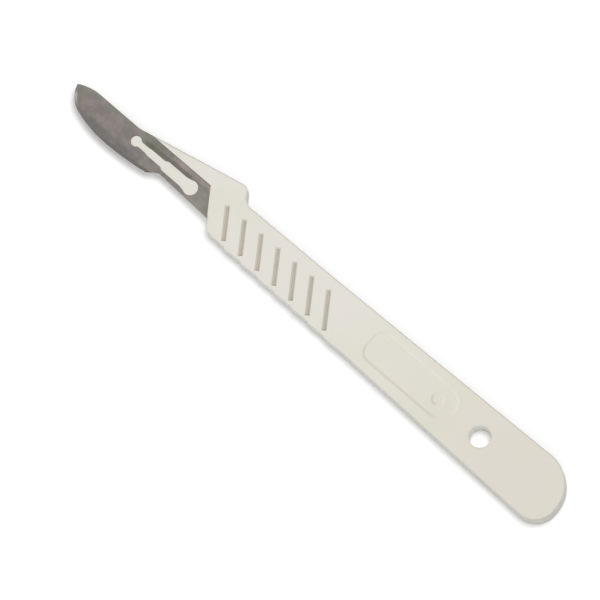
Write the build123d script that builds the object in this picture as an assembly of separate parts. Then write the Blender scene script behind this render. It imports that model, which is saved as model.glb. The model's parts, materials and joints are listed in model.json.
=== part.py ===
from build123d import *
import os
from math import cos, radians, sin, tan

# Disposable scalpel: a stamped steel blade fixed on the nose of a flat moulded handle.
# Lengths are in millimetres and angles in degrees. The pieces are drawn with x from the blade's
# point to the handle's butt, y from the handle's centre line to the spine side, and z up from the
# face that the scalpel lies on. At the end they move so that the origin lies under their middle.

# Overall sizes
overall_length = 134.8
handle_thickness = 4.2
slant = 35.8                  # lean of the heel, grooves and hump from square across the handle

# Blade outline
blade_length = 39.5
blade_thickness = 0.4
blade_point_y = 1.05
blade_back_y = 2.4
back_round_length = 5.2       # length of the rounded drop from the back to the point
belly_turn_x = 4.1            # where the tight curve of the belly meets its long curve
belly_turn_y = -3.18
belly_deep_share = 0.4375     # deepest place, as a share of the way from the turn to the notch
belly_deep_y = -4.49

# Blade tang, placed by its distances in front of the heel
tang_back_y = 2.95
tang_step_to_heel = 23.9      # the back starts to step up to the tang here
tang_step_run = 3.7
notch_front_to_heel = 16.2
notch_front_y = -3.62
notch_rear_to_heel = 14.0
notch_rear_y = -2.05
notch_round = 1.2
heel_low_y = -2.6

# Blade edge
bevel_width = 0.62
bevel_edge_thickness = 0.06

# Blade slot, from its small front circle to its large rear circle
slot_front_to_heel = 22.05
slot_front_radius = 1.22
slot_neck_length = 3.05
slot_neck_half = 0.72
slot_step_run = 0.65
slot_narrow_length = 3.6
slot_narrow_half = 0.86
slot_wide_half = 1.24
slot_flare_length = 2.1
slot_rear_to_heel = 7.05
slot_rear_radius = 1.7
slot_rear_mouth_angle = 30    # the channel meets the rear circle at this angle off its top

# Blade seat in the handle
blade_face_drop = 0.7         # from the handle's face down to the blade's face
seat_clearance = 0.05         # around the tang's back and heel
lug_clearance = 0.08          # around the lug in the slot
lug_shift_y = -0.04           # the lug sits low in the slot
lug_drop = 0.1                # from the blade's face down to the top of the lug

# Nose and hump of the handle, placed by their distances from the blade's heel
nose_to_heel = 24.4
nose_low_y = -2.0
nose_front_round = 1.7
nose_corner_round = 1.0
nose_tip_thickness = 2.6      # at the nose's front, from its back up to its face
nose_slope_to_heel = 3.0      # the nose's back slopes up from here to its front
fin_to_heel = 21.1            # where the fin comes out from behind the tang
fin_rise = 12.0
fin_slope_to_heel = 5.5       # the fin's face slopes down from here to the nose's front
fin_face_drop = 0.6
hump_past_heel = 1.9
hump_round = 1.5
hump_foot_round = 2.6

# Handle outline
grip_half_width = 4.82        # at the shoulder
waist_share = 0.286           # where the handle starts to widen, as a share of its length
waist_half_width = 5.22
butt_half_width = 6.92
butt_spine_share = 0.58       # corner radii of the butt as shares of its width
butt_edge_share = 0.35
shoulder_round = 2.4
edge_round = 0.5

# Grip grooves and the teeth along the lower edge
groove_count = 7
groove_pitch = 4.67
groove_past_heel = 3.04       # where the first groove crosses the handle's centre line
groove_top_margin = 2.7       # from the handle's spine edge to the groove's upper end
groove_low_margin = 0.8       # from the groove's lower end to the handle's lower edge
groove_depth = 1.0
groove_width = 1.1
groove_floor = 0.04
tooth_rise = 0.24
tooth_run = 0.8
tooth_round = 0.9

# Pad, its round moulding mark and the hanging hole, placed in the palm length behind the grooves
pad_start_share = 0.055
pad_end_share = 0.478
hole_share = 0.607
pad_centre_y = 0.15
pad_half_width = 3.8
pad_height = 0.22
pad_slope_run = 0.55
pad_front_round = 2.6
pad_rear_round = 3.7
mark_to_pad_end = 4.5
mark_radius = 1.5
mark_height = 0.2
mark_slope_run = 0.5
hole_radius = 2.35
hole_round = 0.3

# Places that follow from the sizes above
tang_step_start = blade_length - tang_step_to_heel
tang_step_end = tang_step_start + tang_step_run
notch_front_x = blade_length - notch_front_to_heel
notch_rear_x = blade_length - notch_rear_to_heel
belly_deep_x = belly_turn_x + belly_deep_share * (notch_front_x - belly_turn_x)
slot_front_x = blade_length - slot_front_to_heel
slot_rear_x = blade_length - slot_rear_to_heel
nose_front_x = blade_length - nose_to_heel
fin_start_x = blade_length - fin_to_heel
nose_slope_start = blade_length - nose_slope_to_heel
fin_slope_start = blade_length - fin_slope_to_heel
hump_corner_x = blade_length + hump_past_heel
groove_first_x = blade_length + groove_past_heel
blade_top_z = handle_thickness - blade_face_drop
seat_z = blade_top_z - blade_thickness
reach = overall_length        # longer than any cut needs to be


def slant_offset(y_distance):
    """Distance along the handle that a slanted line covers over a distance across it."""
    return y_distance * tan(radians(slant))


def half_width(x):
    """Half of the handle's width, which grows slowly to the waist and faster to the butt."""
    if x < waist_x:
        share = (x - shoulder_x) / (waist_x - shoulder_x)
        return grip_half_width + share * (waist_half_width - grip_half_width)
    share = (x - waist_x) / (overall_length - waist_x)
    return waist_half_width + share * (butt_half_width - waist_half_width)


def fin_y(x):
    """Spine edge of the nose and fin, a straight line that rises to the hump."""
    return tang_back_y + (x - fin_start_x) * tan(radians(fin_rise))


def heel_x(y):
    """Slanted heel of the blade."""
    return blade_length - slant_offset(y - heel_low_y)


def shoulder_line_x(y):
    """Shoulder of the handle, parallel to the heel and a clearance behind it."""
    return heel_x(y) + seat_clearance / cos(radians(slant))


shoulder_x = shoulder_line_x(-grip_half_width)
waist_x = shoulder_x + waist_share * (overall_length - shoulder_x)
hump_corner_y = fin_y(hump_corner_x)
hump_foot_x = hump_corner_x + slant_offset(hump_corner_y - grip_half_width)


def groove_line_x(index, y):
    """Middle of a groove at a distance across the handle."""
    return groove_first_x + index * groove_pitch - slant_offset(y)


def lower_edge_x(index):
    """Where a groove's middle line reaches the lower edge of the handle."""
    return groove_line_x(index, -half_width(groove_line_x(index, 0)))


grip_end_x = lower_edge_x(groove_count)


def palm_x(share):
    """Place along the palm length, from the last tooth to the butt."""
    return grip_end_x + share * (overall_length - grip_end_x)


def outline_face(corners):
    """Face inside a closed outline given as (x, y, corner radius)."""
    points = [(x, y) for x, y, _ in corners]
    radii = [radius for _, _, radius in corners]
    return make_face(FilletPolyline(*points, radius=radii, close=True))


# Blade


def slot_face():
    """Keyhole slot: a small circle, a neck, two channels and a large circle."""
    neck_end = slot_front_x + slot_neck_length
    narrow_start = neck_end + slot_step_run
    narrow_end = narrow_start + slot_narrow_length
    mouth_x = slot_rear_x - slot_rear_radius * sin(radians(slot_rear_mouth_angle))
    mouth_half = slot_rear_radius * cos(radians(slot_rear_mouth_angle))
    upper_side = [
        (slot_front_x, slot_neck_half),
        (neck_end, slot_neck_half),
        (narrow_start, slot_narrow_half),
        (narrow_end, slot_narrow_half),
        (narrow_end + slot_step_run, slot_wide_half),
        (slot_rear_x - slot_flare_length, slot_wide_half),
        (mouth_x, mouth_half),
        (slot_rear_x, mouth_half),
    ]
    lower_side = [(x, -y) for x, y in reversed(upper_side)]
    channel = make_face(Polyline(*upper_side, *lower_side, close=True))
    front = Pos(slot_front_x, 0) * Circle(slot_front_radius)
    rear = Pos(slot_rear_x, 0) * Circle(slot_rear_radius)
    return channel + front + rear


def blade_face():
    """Outline of the blade, with its point at the low end of x."""
    step_middle = ((tang_step_start + tang_step_end) / 2, (blade_back_y + tang_back_y) / 2)
    back_round = TangentArc((back_round_length, blade_back_y), (0, blade_point_y), tangent=(-1, 0))
    back = Line((back_round_length, blade_back_y), (tang_step_start, blade_back_y))
    step_up = TangentArc((tang_step_start, blade_back_y), step_middle, tangent=(1, 0))
    step_level = TangentArc(step_middle, (tang_step_end, tang_back_y), tangent=step_up % 1)
    tang_and_heel = FilletPolyline(
        (tang_step_end, tang_back_y),
        (heel_x(tang_back_y), tang_back_y),
        (blade_length, heel_low_y),
        (notch_rear_x, notch_rear_y),
        (notch_front_x, notch_front_y),
        radius=[0, 0, notch_round],
    )
    belly_rear = TangentArc((belly_deep_x, belly_deep_y), (notch_front_x, notch_front_y), tangent=(1, 0))
    belly_long = TangentArc((belly_deep_x, belly_deep_y), (belly_turn_x, belly_turn_y), tangent=(-1, 0))
    belly_tight = TangentArc((belly_turn_x, belly_turn_y), (0, blade_point_y), tangent=belly_long % 1)
    outline = [back_round, back, step_up, step_level, tang_and_heel, belly_rear, belly_long, belly_tight]
    return make_face(outline) - slot_face()


def is_belly_edge(edge):
    """True for the curved edges of the belly, and not for those of the back or the slot."""
    middle = edge @ 0.5
    below_point = middle.Y < blade_point_y
    before_notch = middle.X < notch_front_x
    before_slot = middle.X < slot_front_x - slot_front_radius - bevel_width
    below_slot = middle.Y < -slot_front_radius - bevel_width
    return edge.geom_type == GeomType.CIRCLE and below_point and before_notch and (before_slot or below_slot)


def make_blade():
    """Stamped plate, ground to an edge along the belly from both faces."""
    blade = Pos(0, 0, seat_z) * extrude(blade_face(), blade_thickness)
    bevel_depth = (blade_thickness - bevel_edge_thickness) / 2
    for side in (Axis.Z, -Axis.Z):
        face = blade.faces().sort_by(side)[-1]
        belly = [edge for edge in face.edges() if is_belly_edge(edge)]
        blade = chamfer(belly, bevel_width, bevel_depth, reference=face)
    return blade


# Handle


def lower_edge_corners():
    """Lower edge from the butt to the shoulder, with a shallow tooth after each groove."""
    corners = []
    for index in reversed(range(groove_count)):
        root_x = lower_edge_x(index)
        tip_x = root_x + tooth_run
        corners.append((tip_x, -half_width(tip_x) - tooth_rise, tooth_round))
        corners.append((root_x, -half_width(root_x), tooth_round))
    return corners


def handle_outline():
    """Plan of the whole moulding, from the nose round the hump and the butt."""
    butt_width = 2 * butt_half_width
    return outline_face([
        (nose_front_x, nose_low_y, nose_front_round),
        (nose_front_x, fin_y(nose_front_x), nose_front_round),
        (hump_corner_x, hump_corner_y, hump_round),
        (hump_foot_x, half_width(hump_foot_x), hump_foot_round),
        (waist_x, waist_half_width, 0),
        (overall_length, butt_half_width, butt_spine_share * butt_width),
        (overall_length, -butt_half_width, butt_edge_share * butt_width),
        (grip_end_x, -half_width(grip_end_x), 0),
        *lower_edge_corners(),
        (shoulder_x, -grip_half_width, shoulder_round),
        (shoulder_line_x(nose_low_y), nose_low_y, nose_corner_round),
    ])


def side_profile():
    """Side view of the moulding, level along the handle and tapered along the nose."""
    nose_face_z = handle_thickness - fin_face_drop
    return make_face(Polyline(
        (nose_front_x, nose_face_z - nose_tip_thickness),
        (nose_slope_start, 0),
        (overall_length, 0),
        (overall_length, handle_thickness),
        (fin_slope_start, handle_thickness),
        (nose_front_x, nose_face_z),
        close=True,
    ))


def looks_up_or_down(face):
    """True for the handle's face and back, level or sloped, and not for its side wall."""
    direction = face.normal_at(face.center())
    return abs(direction.Z) > abs(direction.X) + abs(direction.Y)


def cap_rims(blank):
    """Edges between the side wall and the handle's face or back."""
    caps = [face for face in blank.faces() if looks_up_or_down(face)]
    edges = [edge for face in caps for edge in face.edges()]
    return [edge for edge in edges if sum(edge.is_same(other) for other in edges) == 1]


def handle_blank():
    """Plan and side view of the handle in one body, with its outer edges rounded."""
    plan = extrude(handle_outline(), handle_thickness)
    side = extrude(Plane.XZ * side_profile(), reach, both=True)
    blank = plan & side
    return fillet(cap_rims(blank), edge_round)


def blade_recess():
    """Room for the tang, open to the front and to the lower side."""
    wall_y = tang_back_y + seat_clearance
    front_x = -reach
    low_y = -reach
    plan = make_face(Polyline(
        (front_x, wall_y),
        (shoulder_line_x(wall_y), wall_y),
        (shoulder_line_x(low_y), low_y),
        (front_x, low_y),
        close=True,
    ))
    return Pos(0, 0, seat_z) * extrude(plan, reach)


def groove_cutter(index):
    """One slanted groove with a narrow floor and sloped sides and ends."""
    middle_half_width = half_width(groove_line_x(index, 0))
    top_y = middle_half_width - groove_top_margin
    low_y = groove_low_margin - middle_half_width
    middle_y = (top_y + low_y) / 2
    length = (top_y - low_y) / cos(radians(slant))
    floor_length = length - groove_width + groove_floor
    mouth = Pos(0, 0, groove_depth) * Rectangle(length, groove_width)
    cutter = loft([Rectangle(floor_length, groove_floor), mouth], ruled=True)
    place = Pos(groove_line_x(index, middle_y), middle_y, handle_thickness - groove_depth)
    return place * Rot(0, 0, 90 + slant) * cutter


def pad():
    """Low raised pad with sloped sides, and the round moulding mark on it."""
    pad_start = palm_x(pad_start_share)
    pad_end = palm_x(pad_end_share)

    def rim(inset):
        half = pad_half_width - inset
        return outline_face([
            (pad_start + inset, half, pad_front_round - inset),
            (pad_end - inset, half, pad_rear_round - inset),
            (pad_end - inset, -half, pad_rear_round - inset),
            (pad_start + inset, -half, pad_front_round - inset),
        ])

    raised = loft([rim(0), Pos(0, 0, pad_height) * rim(pad_slope_run)], ruled=True)
    mark_faces = [Circle(mark_radius), Pos(0, 0, mark_height) * Circle(mark_radius - mark_slope_run)]
    mark = Pos(pad_end - mark_to_pad_end, 0, pad_height) * loft(mark_faces, ruled=True)
    return Pos(0, pad_centre_y, handle_thickness) * (raised + mark)


def hanging_hole():
    """Round hole through the handle with rounded rims, as one revolved cutter."""
    middle_z = handle_thickness / 2
    rim = hole_radius + hole_round
    section = make_face([
        Polyline((0, 0), (hole_radius, 0), (hole_radius, middle_z - hole_round)),
        RadiusArc((hole_radius, middle_z - hole_round), (rim, middle_z), hole_round),
        Polyline((rim, middle_z), (rim, middle_z + hole_round), (0, middle_z + hole_round), (0, 0)),
    ])
    upper = revolve(Plane.XZ * section, Axis.Z)
    return Pos(palm_x(hole_share), 0, middle_z) * (upper + mirror(upper, Plane.XY))


def lug():
    """Plastic that fills the blade's slot, from the seat to just under the blade's face."""
    profile = offset(slot_face(), -lug_clearance)
    height = blade_thickness - lug_drop
    return Pos(0, lug_shift_y, seat_z) * extrude(profile, height)


def make_handle():
    """The whole moulding."""
    handle = handle_blank() - blade_recess()
    for index in range(groove_count):
        cutter = groove_cutter(index)
        handle -= cutter
        handle -= mirror(cutter, Plane.XY.offset(handle_thickness / 2))
    handle -= hanging_hole()
    return handle + lug() + pad()


def main():
    pieces = {"blade": make_blade(), "handle": make_handle()}
    box = Compound(list(pieces.values())).bounding_box()
    to_origin = Pos(-(box.min.X + box.max.X) / 2, -(box.min.Y + box.max.Y) / 2, -box.min.Z)
    os.makedirs("parts", exist_ok=True)
    for name, shape in pieces.items():
        export_step(to_origin * shape, f"parts/{name}.step")


if __name__ == "__main__":
    main()
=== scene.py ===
"""Disposable scalpel lying on a white table, seen from above by a long lens."""

import json
import logging
import math
from abc import ABC, abstractmethod
from dataclasses import dataclass, field
from enum import Enum

import bpy
from mathutils import Matrix, Vector


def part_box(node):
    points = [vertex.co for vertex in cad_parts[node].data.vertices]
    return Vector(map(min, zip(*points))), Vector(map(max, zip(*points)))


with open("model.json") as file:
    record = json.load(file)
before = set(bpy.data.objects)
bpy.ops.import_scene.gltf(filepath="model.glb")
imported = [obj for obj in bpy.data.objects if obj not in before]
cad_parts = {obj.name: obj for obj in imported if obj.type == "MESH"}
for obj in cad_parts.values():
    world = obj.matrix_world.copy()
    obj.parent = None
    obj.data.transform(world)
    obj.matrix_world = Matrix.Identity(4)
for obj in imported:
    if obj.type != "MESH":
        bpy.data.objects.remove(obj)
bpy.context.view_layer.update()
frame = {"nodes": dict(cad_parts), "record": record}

MM = 0.001
BUTTWARD = Vector((1, 0, 0))
SPINEWARD = Vector((0, 1, 0))
UP = Vector((0, 0, 1))
WHITE = (1.0, 1.0, 1.0, 1.0)

Socket = bpy.types.NodeSocket
Range = tuple[float, float]
Triple = tuple[float, float, float]
Colour = tuple[float, float, float, float]
Value = float | Triple | Colour | Socket

log = logging.getLogger("scalpel")


class Slot(Enum):
    """Names of the record's material slots, kept with each piece."""

    STEEL = "blade_steel"
    PLASTIC = "handle_plastic"


class Ray(Enum):
    """Kinds of ray that meet the white background directly."""

    CAMERA = "Is Camera Ray"
    GLOSSY = "Is Glossy Ray"
    TRANSMISSION = "Is Transmission Ray"


class Coordinate(Enum):
    """Coordinates that a finish or the sky is laid out by."""

    PLACE = "Object"
    FACING = "Normal"
    SKYWARD = "Generated"


class Step(Enum):
    """Arithmetic steps of a node tree, by Blender's names."""

    TIMES = "MULTIPLY"
    MINUS = "SUBTRACT"
    LARGER = "MAXIMUM"
    SIZE = "ABSOLUTE"
    UNDER = "LESS_THAN"
    OVER = "GREATER_THAN"


class Mixing(Enum):
    """Ways to mix two inputs: Blender's names of the data, of the blend and of the sockets."""

    NUMBERS = ("FLOAT", "MIX", "VALUE")
    COLOURS = ("RGBA", "MIX", "RGBA")
    FILTER = ("RGBA", "MULTIPLY", "RGBA")


@dataclass(frozen=True)
class Grain:
    """Noise of a stated grain size, in metres, and the limits between which it turns from 0 to 1."""

    size: float
    detail: int
    limits: Range = (0.3, 0.7)
    stretch: Triple = (1.0, 1.0, 1.0)
    rough: float = 0.5


class ShaderSheet:
    """Node tree of one material or world, with short calls to add and join nodes."""

    def __init__(self, owner: bpy.types.ID) -> None:
        """Clears the owner's node tree.

        Args:
            owner: Material or world whose nodes are laid out.
        """
        owner.use_nodes = True
        self.tree = owner.node_tree
        self.tree.nodes.clear()

    def add(self, kind: str, inputs: dict[str, Value] | None = None, **settings: str) -> bpy.types.Node:
        """Adds a node.

        Args:
            kind: Blender's type name of the node.
            inputs: Socket name to a value, or to an output socket that it is joined to.
            **settings: Properties of the node itself.

        Returns:
            The new node.
        """
        node = self.tree.nodes.new(kind)
        for name, value in settings.items():
            setattr(node, name, value)
        for name, value in (inputs or {}).items():
            self.feed(node.inputs[name], value)
        return node

    def feed(self, socket: Socket, value: Value) -> None:
        """Sets a socket to a plain value, or joins an output to it.

        Args:
            socket: Input socket.
            value: Number, tuple or output socket.
        """
        if isinstance(value, Socket):
            self.tree.links.new(value, socket)
        else:
            socket.default_value = value

    def noise(self, grain: Grain) -> Socket:
        """Noise from 0 to 1 over the piece.

        Args:
            grain: Size and character of the noise.

        Returns:
            Output with the noise.
        """
        place = self.add("ShaderNodeTexCoord").outputs[Coordinate.PLACE.value]
        stretched = self.add("ShaderNodeMapping", {"Vector": place, "Scale": grain.stretch})
        return self.add("ShaderNodeTexNoise", {
            "Vector": stretched.outputs["Vector"],
            "Scale": 1 / grain.size,
            "Detail": grain.detail,
            "Roughness": grain.rough,
        }).outputs["Fac"]

    def patches(self, grain: Grain) -> Socket:
        """Noise in patches: 0 below the grain's limits and 1 above them."""
        return self.spread(self.noise(grain), grain.limits)

    def spread(self, value: Socket, old: Range, new: Range = (0, 1)) -> Socket:
        """Maps one range of a value smoothly on another.

        Args:
            value: Output with the value.
            old: Start and end of the old range.
            new: What the start and the end become.

        Returns:
            Output with the mapped value.
        """
        limits = dict(zip(("From Min", "From Max", "To Min", "To Max"), old + new))
        node = self.add("ShaderNodeMapRange", {"Value": value} | limits, interpolation_type="SMOOTHSTEP")
        return node.outputs["Result"]

    def sums(self, step: Step, first: Value, second: Value = 0.0) -> Socket:
        """Result of one arithmetic step.

        Args:
            step: The step.
            first: First number or output.
            second: Second number or output.

        Returns:
            Output with the result.
        """
        node = self.add("ShaderNodeMath", operation=step.value)
        for socket, value in zip(node.inputs, (first, second)):
            self.feed(socket, value)
        return node.outputs["Value"]

    def blend(self, share: Value, first: Value, second: Value, mixing: Mixing = Mixing.COLOURS) -> Socket:
        """Mixes two numbers or colours.

        Args:
            share: Number or output, 0 for the first input and 1 for the second.
            first: First input.
            second: Second input.
            mixing: What is mixed and how.

        Returns:
            Output with the mix.
        """
        data, blending, kind = mixing.value
        node = self.add("ShaderNodeMix", {"Factor": share}, data_type=data, blend_type=blending)
        ends = [socket for socket in node.inputs if socket.type == kind and socket.name in ("A", "B")]
        for socket, value in zip(ends, (first, second)):
            self.feed(socket, value)
        return next(socket for socket in node.outputs if socket.type == kind)

    def tint(self, share: Value, colour: Value, shade: Colour) -> Socket:
        """Colour multiplied by a shade, as far as the share goes."""
        return self.blend(share, colour, shade, Mixing.FILTER)

    def relief(self, height: Socket, depth: float, under: Socket | None = None) -> Socket:
        """Bumps that follow a height from 0 to 1.

        Args:
            height: Output with the height.
            depth: Height of a full bump, in metres.
            under: Normal of a coarser relief that this one lies on.

        Returns:
            Output with the bumped normal.
        """
        sockets = {"Height": height, "Distance": depth, "Strength": 1.0}
        if under is not None:
            sockets["Normal"] = under
        return self.add("ShaderNodeBump", sockets).outputs["Normal"]

    def along(self, coordinate: Coordinate, direction: Vector) -> Socket:
        """Size of a coordinate along a direction.

        Args:
            coordinate: The coordinate.
            direction: Unit vector.

        Returns:
            Output with the size along the vector.
        """
        node = self.add("ShaderNodeVectorMath", operation="DOT_PRODUCT")
        vectors = (self.add("ShaderNodeTexCoord").outputs[coordinate.value], tuple(direction))
        for socket, value in zip(node.inputs, vectors):
            self.feed(socket, value)
        return node.outputs["Value"]

    def band(self, value: Socket, limits: Range, soft: float) -> Socket:
        """Share that is 1 where a value lies between two limits, with soft ends.

        Args:
            value: Output with the value.
            limits: Lower and upper limit.
            soft: Width of each soft end.

        Returns:
            Output with the share.
        """
        start, end = limits
        rise = self.spread(value, (start - soft, start))
        fall = self.spread(value, (end, end + soft), (1, 0))
        return self.sums(Step.TIMES, rise, fall)

    def steeper(self, limit: float) -> Socket:
        """Share that is 1 on faces steeper than a limit, on the front and the back alike.

        Args:
            limit: Upright part of the face's normal, 0 for a wall and 1 for a level face.

        Returns:
            Output with the share.
        """
        level = self.sums(Step.SIZE, self.along(Coordinate.FACING, UP))
        return self.sums(Step.UNDER, level, limit)

    def seen_directly(self) -> Socket:
        """Share that is 1 for camera, glossy and transmission rays, and 0 for the rest.

        Returns:
            Output with the share.
        """
        path = self.add("ShaderNodeLightPath")
        share = path.outputs[Ray.CAMERA.value]
        for ray in (Ray.GLOSSY, Ray.TRANSMISSION):
            share = self.sums(Step.LARGER, share, path.outputs[ray.value])
        return share


def heading(angle: float) -> Vector:
    """Level unit vector at an angle from the part's +X, in radians."""
    return Vector((math.cos(angle), math.sin(angle), 0))


def blade_corner() -> Vector:
    """Lowest corner of the blade's box: its point along x and the foot of its belly along y."""
    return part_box("blade")[0]


@dataclass(frozen=True)
class TintedPlace:
    """Soft-edged place on a piece whose colour is multiplied by a tint.

    Places are distances in millimetres from a point of the piece, along the scalpel towards its
    butt and across it towards its spine. The lean, in degrees, turns both directions.
    """

    tint: Colour
    along: Range
    across: Range
    soft: float
    lean: float = 0.0

    def share(self, sheet: ShaderSheet, point: Vector) -> Socket:
        """Share that is 1 inside the place and 0 outside it.

        Args:
            sheet: Node tree of the material.
            point: Where both distances are 0, in metres.

        Returns:
            Output with the share.
        """
        turn = Matrix.Rotation(math.radians(self.lean), 3, "Z")
        bands = []
        for axis, (start, end) in ((BUTTWARD, self.along), (SPINEWARD, self.across)):
            leaning = turn @ axis
            zero = leaning.dot(point)
            place = sheet.along(Coordinate.PLACE, leaning)
            bands.append(sheet.band(place, (zero + start * MM, zero + end * MM), self.soft * MM))
        return sheet.sums(Step.TIMES, *bands)


@dataclass(frozen=True)
class Finish(ABC):
    """What every finish of the scalpel has: a principled surface whose grain swings its roughness."""

    roughness: float
    roughness_swing: float

    @abstractmethod
    def inputs(self, sheet: ShaderSheet) -> dict[str, Value]:
        """Inputs of the principled surface, by their socket names."""

    def swing(self, sheet: ShaderSheet, height: Socket, grain: Grain) -> Socket:
        """Roughness that swings about its middle with a grain.

        Args:
            sheet: Node tree of the material.
            height: Output with the grain's noise.
            grain: The grain, for its limits.

        Returns:
            Output with the roughness.
        """
        ends = (self.roughness - self.roughness_swing, self.roughness + self.roughness_swing)
        return sheet.spread(height, grain.limits, ends)

    def material(self) -> bpy.types.Material:
        """Builds the material.

        Returns:
            The material, named after the finish.
        """
        material = bpy.data.materials.new(type(self).__name__)
        sheet = ShaderSheet(material)
        surface = sheet.add("ShaderNodeBsdfPrincipled", self.inputs(sheet))
        sheet.add("ShaderNodeOutputMaterial", {"Surface": surface.outputs["BSDF"]})
        return material


@dataclass(frozen=True)
class IvoryPlastic(Finish):
    """Satin ivory moulding with a fine moulded grain: paler at the nose, and darker and warmer at the
    butt as painted shade for light that falls off along the handle.

    A painted shade or painted light multiplies the colour. A height or a low is measured from the table.
    A turn is the range in which a normal's part towards a side brings the painted shade or light in. A
    level or a steep limits a normal's upright part, which is 1 on a level face and 0 on a wall.
    """

    roughness: float = 0.42
    roughness_swing: float = 0.06
    specular: float = 0.4
    # the butt colour is darker than the nose colour: painted shade for light falling off along the handle
    nose_colour: Colour = (0.800, 0.768, 0.705, 1.0)
    shaded_butt_colour: Colour = (0.752, 0.712, 0.632, 1.0)
    nose_to_butt: Range = (5 * MM, 60 * MM)
    patch_colour: Colour = (0.970, 0.985, 0.955, 1.0)
    patch_grain: Grain = Grain(11 * MM, 2, (0.4, 0.7))
    # painted shade low on the groove sides, where less light reaches
    groove_painted_shade: Colour = (0.81, 0.80, 0.755, 1.0)
    groove_height: Range = (3.3 * MM, 4.15 * MM)
    groove_steep: Range = (0.3, 0.6)
    # painted shade on pad slopes facing the lower left, painted light on those facing the upper right
    pad_painted_shade: Colour = (0.885, 0.870, 0.820, 1.0)
    pad_painted_light: Colour = (1.09, 1.09, 1.08, 1.0)
    pad_low: float = 4.2 * MM
    pad_turn: Range = (0.10, 0.34)
    pad_side: Triple = (-0.6, -0.8, 0.0)
    # painted shade on the rounded rim facing the spine's side
    rim_painted_shade: Colour = (0.74, 0.72, 0.74, 1.0)
    rim_turn: Range = (0.35, 0.65)
    rim_side: Triple = (-0.66, 0.75, 0.0)
    # painted shade on the steep side walls, greyer and bluer than the face
    wall_painted_shade: Colour = (0.93, 0.96, 1.0, 1.0)
    wall_level: float = 0.3
    # painted light on the wall of the hanging hole
    bore_painted_light: TintedPlace = TintedPlace((1.38, 1.40, 1.44, 1.0), (-2.8, 2.8), (-2.8, 2.8), 0.1)
    bore_level: float = 0.6
    skin: Grain = Grain(0.16 * MM, 3, rough=0.6)
    skin_depth: float = 0.0016 * MM
    waves: Grain = Grain(5 * MM, 1)
    wave_depth: float = 0.012 * MM

    def inputs(self, sheet: ShaderSheet) -> dict[str, Value]:
        """Inputs of the principled surface.

        Args:
            sheet: Node tree of the material.

        Returns:
            Socket name to its value or output.
        """
        skin = sheet.noise(self.skin)
        waves = sheet.relief(sheet.noise(self.waves), self.wave_depth)
        return {
            "Base Color": self.colour(sheet),
            "Roughness": self.swing(sheet, skin, self.skin),
            "Specular IOR Level": self.specular,
            "Normal": sheet.relief(skin, self.skin_depth, waves),
        }

    def colour(self, sheet: ShaderSheet) -> Socket:
        """Colour that darkens along the handle as painted shade, changes in soft patches, and takes
        painted shade and painted light on its small forms and walls.

        Args:
            sheet: Node tree of the material.

        Returns:
            Output with the colour.
        """
        butt = sheet.spread(sheet.along(Coordinate.PLACE, BUTTWARD), self.nose_to_butt)
        colour = sheet.blend(butt, self.nose_colour, self.shaded_butt_colour)
        side = Vector(self.pad_side)
        bore_painted_light = self.bore_share(sheet)
        tints = (
            (sheet.patches(self.patch_grain), self.patch_colour),
            (self.groove_share(sheet), self.groove_painted_shade),
            (self.pad_share(sheet, side), self.pad_painted_shade),
            (self.pad_share(sheet, -side), self.pad_painted_light),
            (sheet.steeper(self.wall_level), self.wall_painted_shade),
            (self.rim_share(sheet, bore_painted_light), self.rim_painted_shade),
            (bore_painted_light, self.bore_painted_light.tint),
        )
        for share, shade in tints:
            colour = sheet.tint(share, colour, shade)
        return colour

    def groove_share(self, sheet: ShaderSheet) -> Socket:
        """Share of painted shade: 1 low on the sloped sides of the grip grooves and 0 elsewhere.

        Args:
            sheet: Node tree of the material.

        Returns:
            Output with the share.
        """
        low = sheet.spread(sheet.along(Coordinate.PLACE, UP), self.groove_height, (1, 0))
        level = sheet.along(Coordinate.FACING, UP)
        start, end = self.groove_steep
        above_wall = sheet.sums(Step.OVER, level, start)
        below_face = sheet.sums(Step.UNDER, level, end)
        return sheet.sums(Step.TIMES, low, sheet.sums(Step.TIMES, above_wall, below_face))

    def pad_share(self, sheet: ShaderSheet, side: Vector) -> Socket:
        """Share that is 1 on the slopes round the pad and its mark that face one side, for painted shade
        on the lower-left side and painted light on the upper-right side.

        Args:
            sheet: Node tree of the material.
            side: Unit vector towards the side.

        Returns:
            Output with the share.
        """
        above_face = sheet.sums(Step.OVER, sheet.along(Coordinate.PLACE, UP), self.pad_low)
        turned = sheet.spread(sheet.along(Coordinate.FACING, side), self.pad_turn)
        return sheet.sums(Step.TIMES, above_face, turned)

    def rim_share(self, sheet: ShaderSheet, bore_painted_light: Socket) -> Socket:
        """Share of painted shade: 1 on the rounded rim on the spine's side and 0 elsewhere.

        Args:
            sheet: Node tree of the material.
            bore_painted_light: Output with the share of the hanging hole's wall, which stays out.

        Returns:
            Output with the share.
        """
        turned = sheet.spread(sheet.along(Coordinate.FACING, Vector(self.rim_side)), self.rim_turn)
        return sheet.sums(Step.TIMES, turned, sheet.sums(Step.MINUS, 1.0, bore_painted_light))

    def bore_share(self, sheet: ShaderSheet) -> Socket:
        """Share that is 1 on the wall of the hanging hole, which gets painted light.

        Args:
            sheet: Node tree of the material.

        Returns:
            Output with the share.
        """
        mount = next(entry for entry in frame["record"]["mounts"] if entry["name"] == "hang_hole")
        near = self.bore_painted_light.share(sheet, Vector(mount["pos_m"]))
        return sheet.sums(Step.TIMES, near, sheet.steeper(self.bore_level))


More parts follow.
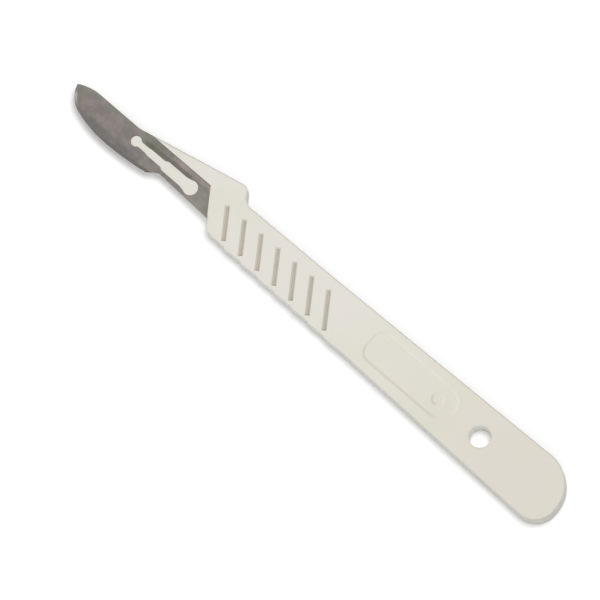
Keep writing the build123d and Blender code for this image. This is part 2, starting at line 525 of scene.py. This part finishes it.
@dataclass(frozen=True)
class RolledSteel(Finish):
    """Rolled blade strip with fine lengthwise lines, ground across along the edge.

    Its places are measured from the front end of its middle line; some carry painted shade and some
    painted reflection. The ground edge is told from the flat faces and the walls by the upright part of
    its normal; its darker colour is painted shade, and it is paler in one short stretch that turns
    forward, a little below the tip, as a painted reflection.
    """

    roughness: float = 0.36
    roughness_swing: float = 0.07
    colour: Colour = (0.575, 0.500, 0.474, 1.0)
    stain: Colour = (0.530, 0.486, 0.445, 1.0)
    stain_grain: Grain = Grain(4 * MM, 3, (0.42, 0.62))
    mottle: Colour = (0.86, 0.87, 0.88, 1.0)
    mottle_grain: Grain = Grain(1.4 * MM, 2, (0.35, 0.65))
    # painted shade along the spine side of the slot
    slot_painted_shade: TintedPlace = TintedPlace((0.74, 0.74, 0.68, 1.0), (19.4, 31.0), (0.2, 0.6), 0.5, 2.2)
    slot_front: TintedPlace = TintedPlace((0.90, 0.98, 0.88, 1.0), (18.5, 23.0), (0.5, 4.0), 1.2)
    # painted reflection, lighter towards the spine
    spine: TintedPlace = TintedPlace((1.05, 1.09, 1.07, 1.0), (3.0, 15.0), (1.6, 4.0), 0.8)
    # painted reflection, lighter on the tang's spine side near the heel
    tang_spine_painted_reflection: TintedPlace = TintedPlace((1.30, 1.27, 1.20, 1.0), (26.0, 37.0), (2.4, 4.0), 0.8)
    heel: TintedPlace = TintedPlace((1.14, 1.18, 1.11, 1.0), (33.0, 38.0), (-3.0, 0.6), 1.2)
    point: TintedPlace = TintedPlace((0.91, 0.96, 0.87, 1.0), (-2.0, 2.6), (-4.0, 4.0), 1.5)
    # painted shade, darker towards the belly
    belly: TintedPlace = TintedPlace((0.77, 0.81, 0.80, 1.0), (5.0, 20.0), (-5.0, -3.0), 1.2)
    middle_above_belly: float = 4.49 * MM
    tip_above_middle: float = 1.05 * MM
    flat_limit: float = 0.985
    ground_limit: float = 0.93
    # real ground bevel, its darker colour painted shade
    ground_edge_painted_shade: Colour = (0.305, 0.282, 0.268, 1.0)
    # painted reflection of the white surroundings on the ground edge
    pale_edge_painted_reflection: Colour = (0.560, 0.525, 0.510, 1.0)
    pale_turn: Range = (0.10, 0.22)
    pale_below_tip: Range = (1.1 * MM, 1.8 * MM)
    rolled: Grain = Grain(0.12 * MM, 2, stretch=(0.03, 1.0, 1.0))
    ground: Grain = Grain(0.12 * MM, 2, stretch=(1.0, 0.03, 1.0))
    line_depth: float = 0.0006 * MM

    def inputs(self, sheet: ShaderSheet) -> dict[str, Value]:
        """Inputs of the principled surface.

        Args:
            sheet: Node tree of the material.

        Returns:
            Socket name to its value or output.
        """
        edge = self.edge_share(sheet)
        lines = sheet.blend(edge, sheet.noise(self.rolled), sheet.noise(self.ground), Mixing.NUMBERS)
        return {
            "Base Color": self.colours(sheet, edge),
            "Metallic": 1.0,
            "Roughness": self.swing(sheet, lines, self.rolled),
            "Normal": sheet.relief(lines, self.line_depth),
        }

    def colours(self, sheet: ShaderSheet, edge: Socket) -> Socket:
        """Colour of the strip, stained in patches, with painted shade and painted reflection in places,
        and of its ground edge.

        Args:
            sheet: Node tree of the material.
            edge: Output with the share of the ground edge.

        Returns:
            Output with the colour.
        """
        front_end = blade_corner() + SPINEWARD * self.middle_above_belly
        tang_places = (self.slot_painted_shade, self.slot_front, self.tang_spine_painted_reflection, self.heel)
        front_places = (self.spine, self.point, self.belly)
        strip = sheet.blend(sheet.patches(self.stain_grain), self.colour, self.stain)
        strip = sheet.tint(sheet.patches(self.mottle_grain), strip, self.mottle)
        for place in tang_places + front_places:
            strip = sheet.tint(place.share(sheet, front_end), strip, place.tint)
        ground = sheet.blend(self.pale_share(sheet, front_end), self.ground_edge_painted_shade, self.pale_edge_painted_reflection)
        return sheet.blend(edge, strip, ground)

    def edge_share(self, sheet: ShaderSheet) -> Socket:
        """Share that is 1 on the ground slopes along the edge and 0 on the flat faces and the walls.

        Args:
            sheet: Node tree of the material.

        Returns:
            Output with the share.
        """
        return sheet.sums(Step.MINUS, sheet.steeper(self.flat_limit), sheet.steeper(self.ground_limit))

    def pale_share(self, sheet: ShaderSheet, front_end: Vector) -> Socket:
        """Share of the painted reflection: 1 on the ground edge where it turns forward, a little below
        the tip.

        Args:
            sheet: Node tree of the material.
            front_end: Front end of the blade's middle line, in metres.

        Returns:
            Output with the share.
        """
        turned = sheet.spread(sheet.along(Coordinate.FACING, -BUTTWARD), self.pale_turn)
        tip = front_end.y + self.tip_above_middle
        start, end = self.pale_below_tip
        below = sheet.spread(sheet.along(Coordinate.PLACE, SPINEWARD), (tip - end, tip - start), (1, 0))
        return sheet.sums(Step.TIMES, turned, below)


@dataclass
class Piece:
    """One piece of the scalpel that keeps its CAD form and gets its finish here."""

    node: str
    slot: Slot
    finish: Finish

    def dress(self) -> bpy.types.Object:
        """Gives the piece its finish.

        Returns:
            The dressed object.
        """
        piece = frame["nodes"][self.node]
        material = self.finish.material()
        if not piece.material_slots:
            piece.data.materials.append(material)
        for slot in piece.material_slots:
            slot.material = material
        return piece


@dataclass
class Scalpel:
    """The whole tool: a moulded handle and the blade fixed on its nose."""

    handle: Piece = field(default_factory=lambda: Piece("handle", Slot.PLASTIC, IvoryPlastic()))
    blade: Piece = field(default_factory=lambda: Piece("blade", Slot.STEEL, RolledSteel()))

    def build(self) -> list[bpy.types.Object]:
        """Dresses the handle and the blade, and returns both objects."""
        return [piece.dress() for piece in (self.handle, self.blade)]


@dataclass
class Table:
    """White table top that keeps the scalpel's shadow."""

    half_size: float = 2.0
    bounce: Colour = (0.75, 0.75, 0.75, 1.0)
    seen: Colour = (1.12, 1.12, 1.12, 1.0)
    roughness: float = 0.9

    def material(self) -> bpy.types.Material:
        """Builds the table's material, which is whiter where it is seen directly.

        Returns:
            The material.
        """
        material = bpy.data.materials.new("WhiteTable")
        sheet = ShaderSheet(material)
        colour = sheet.blend(sheet.seen_directly(), self.bounce, self.seen)
        paper = sheet.add("ShaderNodeBsdfDiffuse", {"Color": colour, "Roughness": self.roughness})
        sheet.add("ShaderNodeOutputMaterial", {"Surface": paper.outputs["BSDF"]})
        return material

    def build(self) -> bpy.types.Object:
        """Lays the table top under the scalpel.

        Returns:
            The table top.
        """
        side = self.half_size
        corners = [(-side, -side, 0), (side, -side, 0), (side, side, 0), (-side, side, 0)]
        mesh = bpy.data.meshes.new("TableTop")
        mesh.from_pydata(corners, [], [(0, 1, 2, 3)])
        mesh.materials.append(self.material())
        table = bpy.data.objects.new("TableTop", mesh)
        bpy.context.scene.collection.objects.link(table)
        return table


@dataclass
class StudioSky:
    """Pale light from all round, stronger from one side, white towards the horizon in reflections."""

    fill: float = 0.53
    fill_slope: float = 0.5
    fill_bearing: float = math.radians(230)
    overhead: float = 0.38
    horizon: float = 1.0
    horizon_to_overhead: Range = (0.70, 0.91)

    def build(self, picture_right: float) -> None:
        """Sets the world up.

        Args:
            picture_right: Angle of the picture's right from the part's +X, in radians.
        """
        world = bpy.data.worlds.new("StudioSky")
        bpy.context.scene.world = world
        sheet = ShaderSheet(world)
        side = sheet.along(Coordinate.SKYWARD, heading(picture_right + self.fill_bearing))
        weak, strong = self.fill * (1 - self.fill_slope), self.fill * (1 + self.fill_slope)
        fill = sheet.spread(side, (-1, 1), (weak, strong))
        height = sheet.along(Coordinate.SKYWARD, UP)
        seen = sheet.spread(height, self.horizon_to_overhead, (self.horizon, self.overhead))
        strength = sheet.blend(sheet.seen_directly(), fill, seen, Mixing.NUMBERS)
        sky = sheet.add("ShaderNodeBackground", {"Color": WHITE, "Strength": strength})
        sheet.add("ShaderNodeOutputWorld", {"Surface": sky.outputs["Background"]})
        log.info("sky fill %.2f, overhead %.2f", self.fill, self.overhead)


@dataclass
class Softbox:
    """Round overhead softbox that leans from one side.

    Its power follows from its share: how much of full white it gives a white table by itself.
    """

    distance: float = 1.0
    diameter: float = 0.5
    lean: float = math.radians(14)
    bearing: float = math.radians(27)
    share: float = 0.47

    def build(self, picture_right: float) -> None:
        """Hangs the lamp.

        Args:
            picture_right: Angle of the picture's right from the part's +X, in radians.
        """
        level = heading(picture_right + self.bearing)
        toward = level * math.sin(self.lean) + UP * math.cos(self.lean)
        data = bpy.data.lights.new("Softbox", "AREA")
        data.shape = "DISK"
        data.size = self.diameter
        data.energy = self.share * math.pi**2 * self.distance**2 / math.cos(self.lean)
        lamp = bpy.data.objects.new("Softbox", data)
        lamp.location = toward * self.distance
        lamp.rotation_euler = toward.to_track_quat("Z", "Y").to_euler()
        lamp.visible_camera = False
        lamp.visible_glossy = False
        bpy.context.scene.collection.objects.link(lamp)
        log.info("softbox %.2f m away, %.1f W", self.distance, data.energy)


@dataclass
class LongLens:
    """Camera above the scalpel, tilted towards the picture's lower edge.

    The picture is one frame width wide at the scalpel. Its middle is past the blade's point and
    above the foot of its belly, and the two leans say which way in the picture the camera tilts.
    """

    distance: float = 5.0
    reach: float = 50.0
    frame_width: float = 122.43 * MM
    sensor: float = 36.0
    tilt: float = math.radians(16)
    picture_right: float = math.radians(41.67)
    lean_right: float = 0.358
    lean_down: float = 0.934
    past_point: float = 65.197 * MM
    above_belly: float = 1.848 * MM
    height: float = 2.1 * MM

    def build(self) -> None:
        """Stands the camera up and makes it the scene's own."""
        right = heading(self.picture_right)
        up = UP.cross(right)
        lean = (self.lean_right * right - self.lean_down * up).normalized()
        turn = Matrix.Rotation(self.tilt, 3, UP.cross(lean))
        basis = Matrix((turn @ right, turn @ up, turn @ UP)).transposed()
        corner = blade_corner()
        centre = Vector((corner.x + self.past_point, corner.y + self.above_belly, self.height))
        data = bpy.data.cameras.new("LongLens")
        data.sensor_width = self.sensor
        data.lens = self.sensor * self.distance / self.frame_width
        data.clip_end = self.reach
        camera = bpy.data.objects.new("LongLens", data)
        camera.matrix_world = Matrix.Translation(centre + turn @ UP * self.distance) @ basis.to_4x4()
        bpy.context.scene.collection.objects.link(camera)
        bpy.context.scene.camera = camera
        log.info("camera %.2f m away, %.0f mm lens", self.distance, data.lens)


def report(piece: bpy.types.Object) -> None:
    """Writes a piece's size to the log.

    Args:
        piece: The object.
    """
    size = " x ".join(f"{side / MM:.1f}" for side in piece.dimensions)
    log.info("%s: %s mm, %d faces", piece.name, size, len(piece.data.polygons))


def main() -> None:
    """Builds the scalpel and the plain studio round it, and reports each piece."""
    logging.basicConfig(level=logging.INFO, format="%(name)s: %(message)s")
    bpy.context.scene.view_settings.view_transform = "Standard"
    camera = LongLens()
    for piece in (*Scalpel().build(), Table().build()):
        report(piece)
    StudioSky().build(camera.picture_right)
    Softbox().build(camera.picture_right)
    camera.build()


if __name__ == "__main__":
    main()
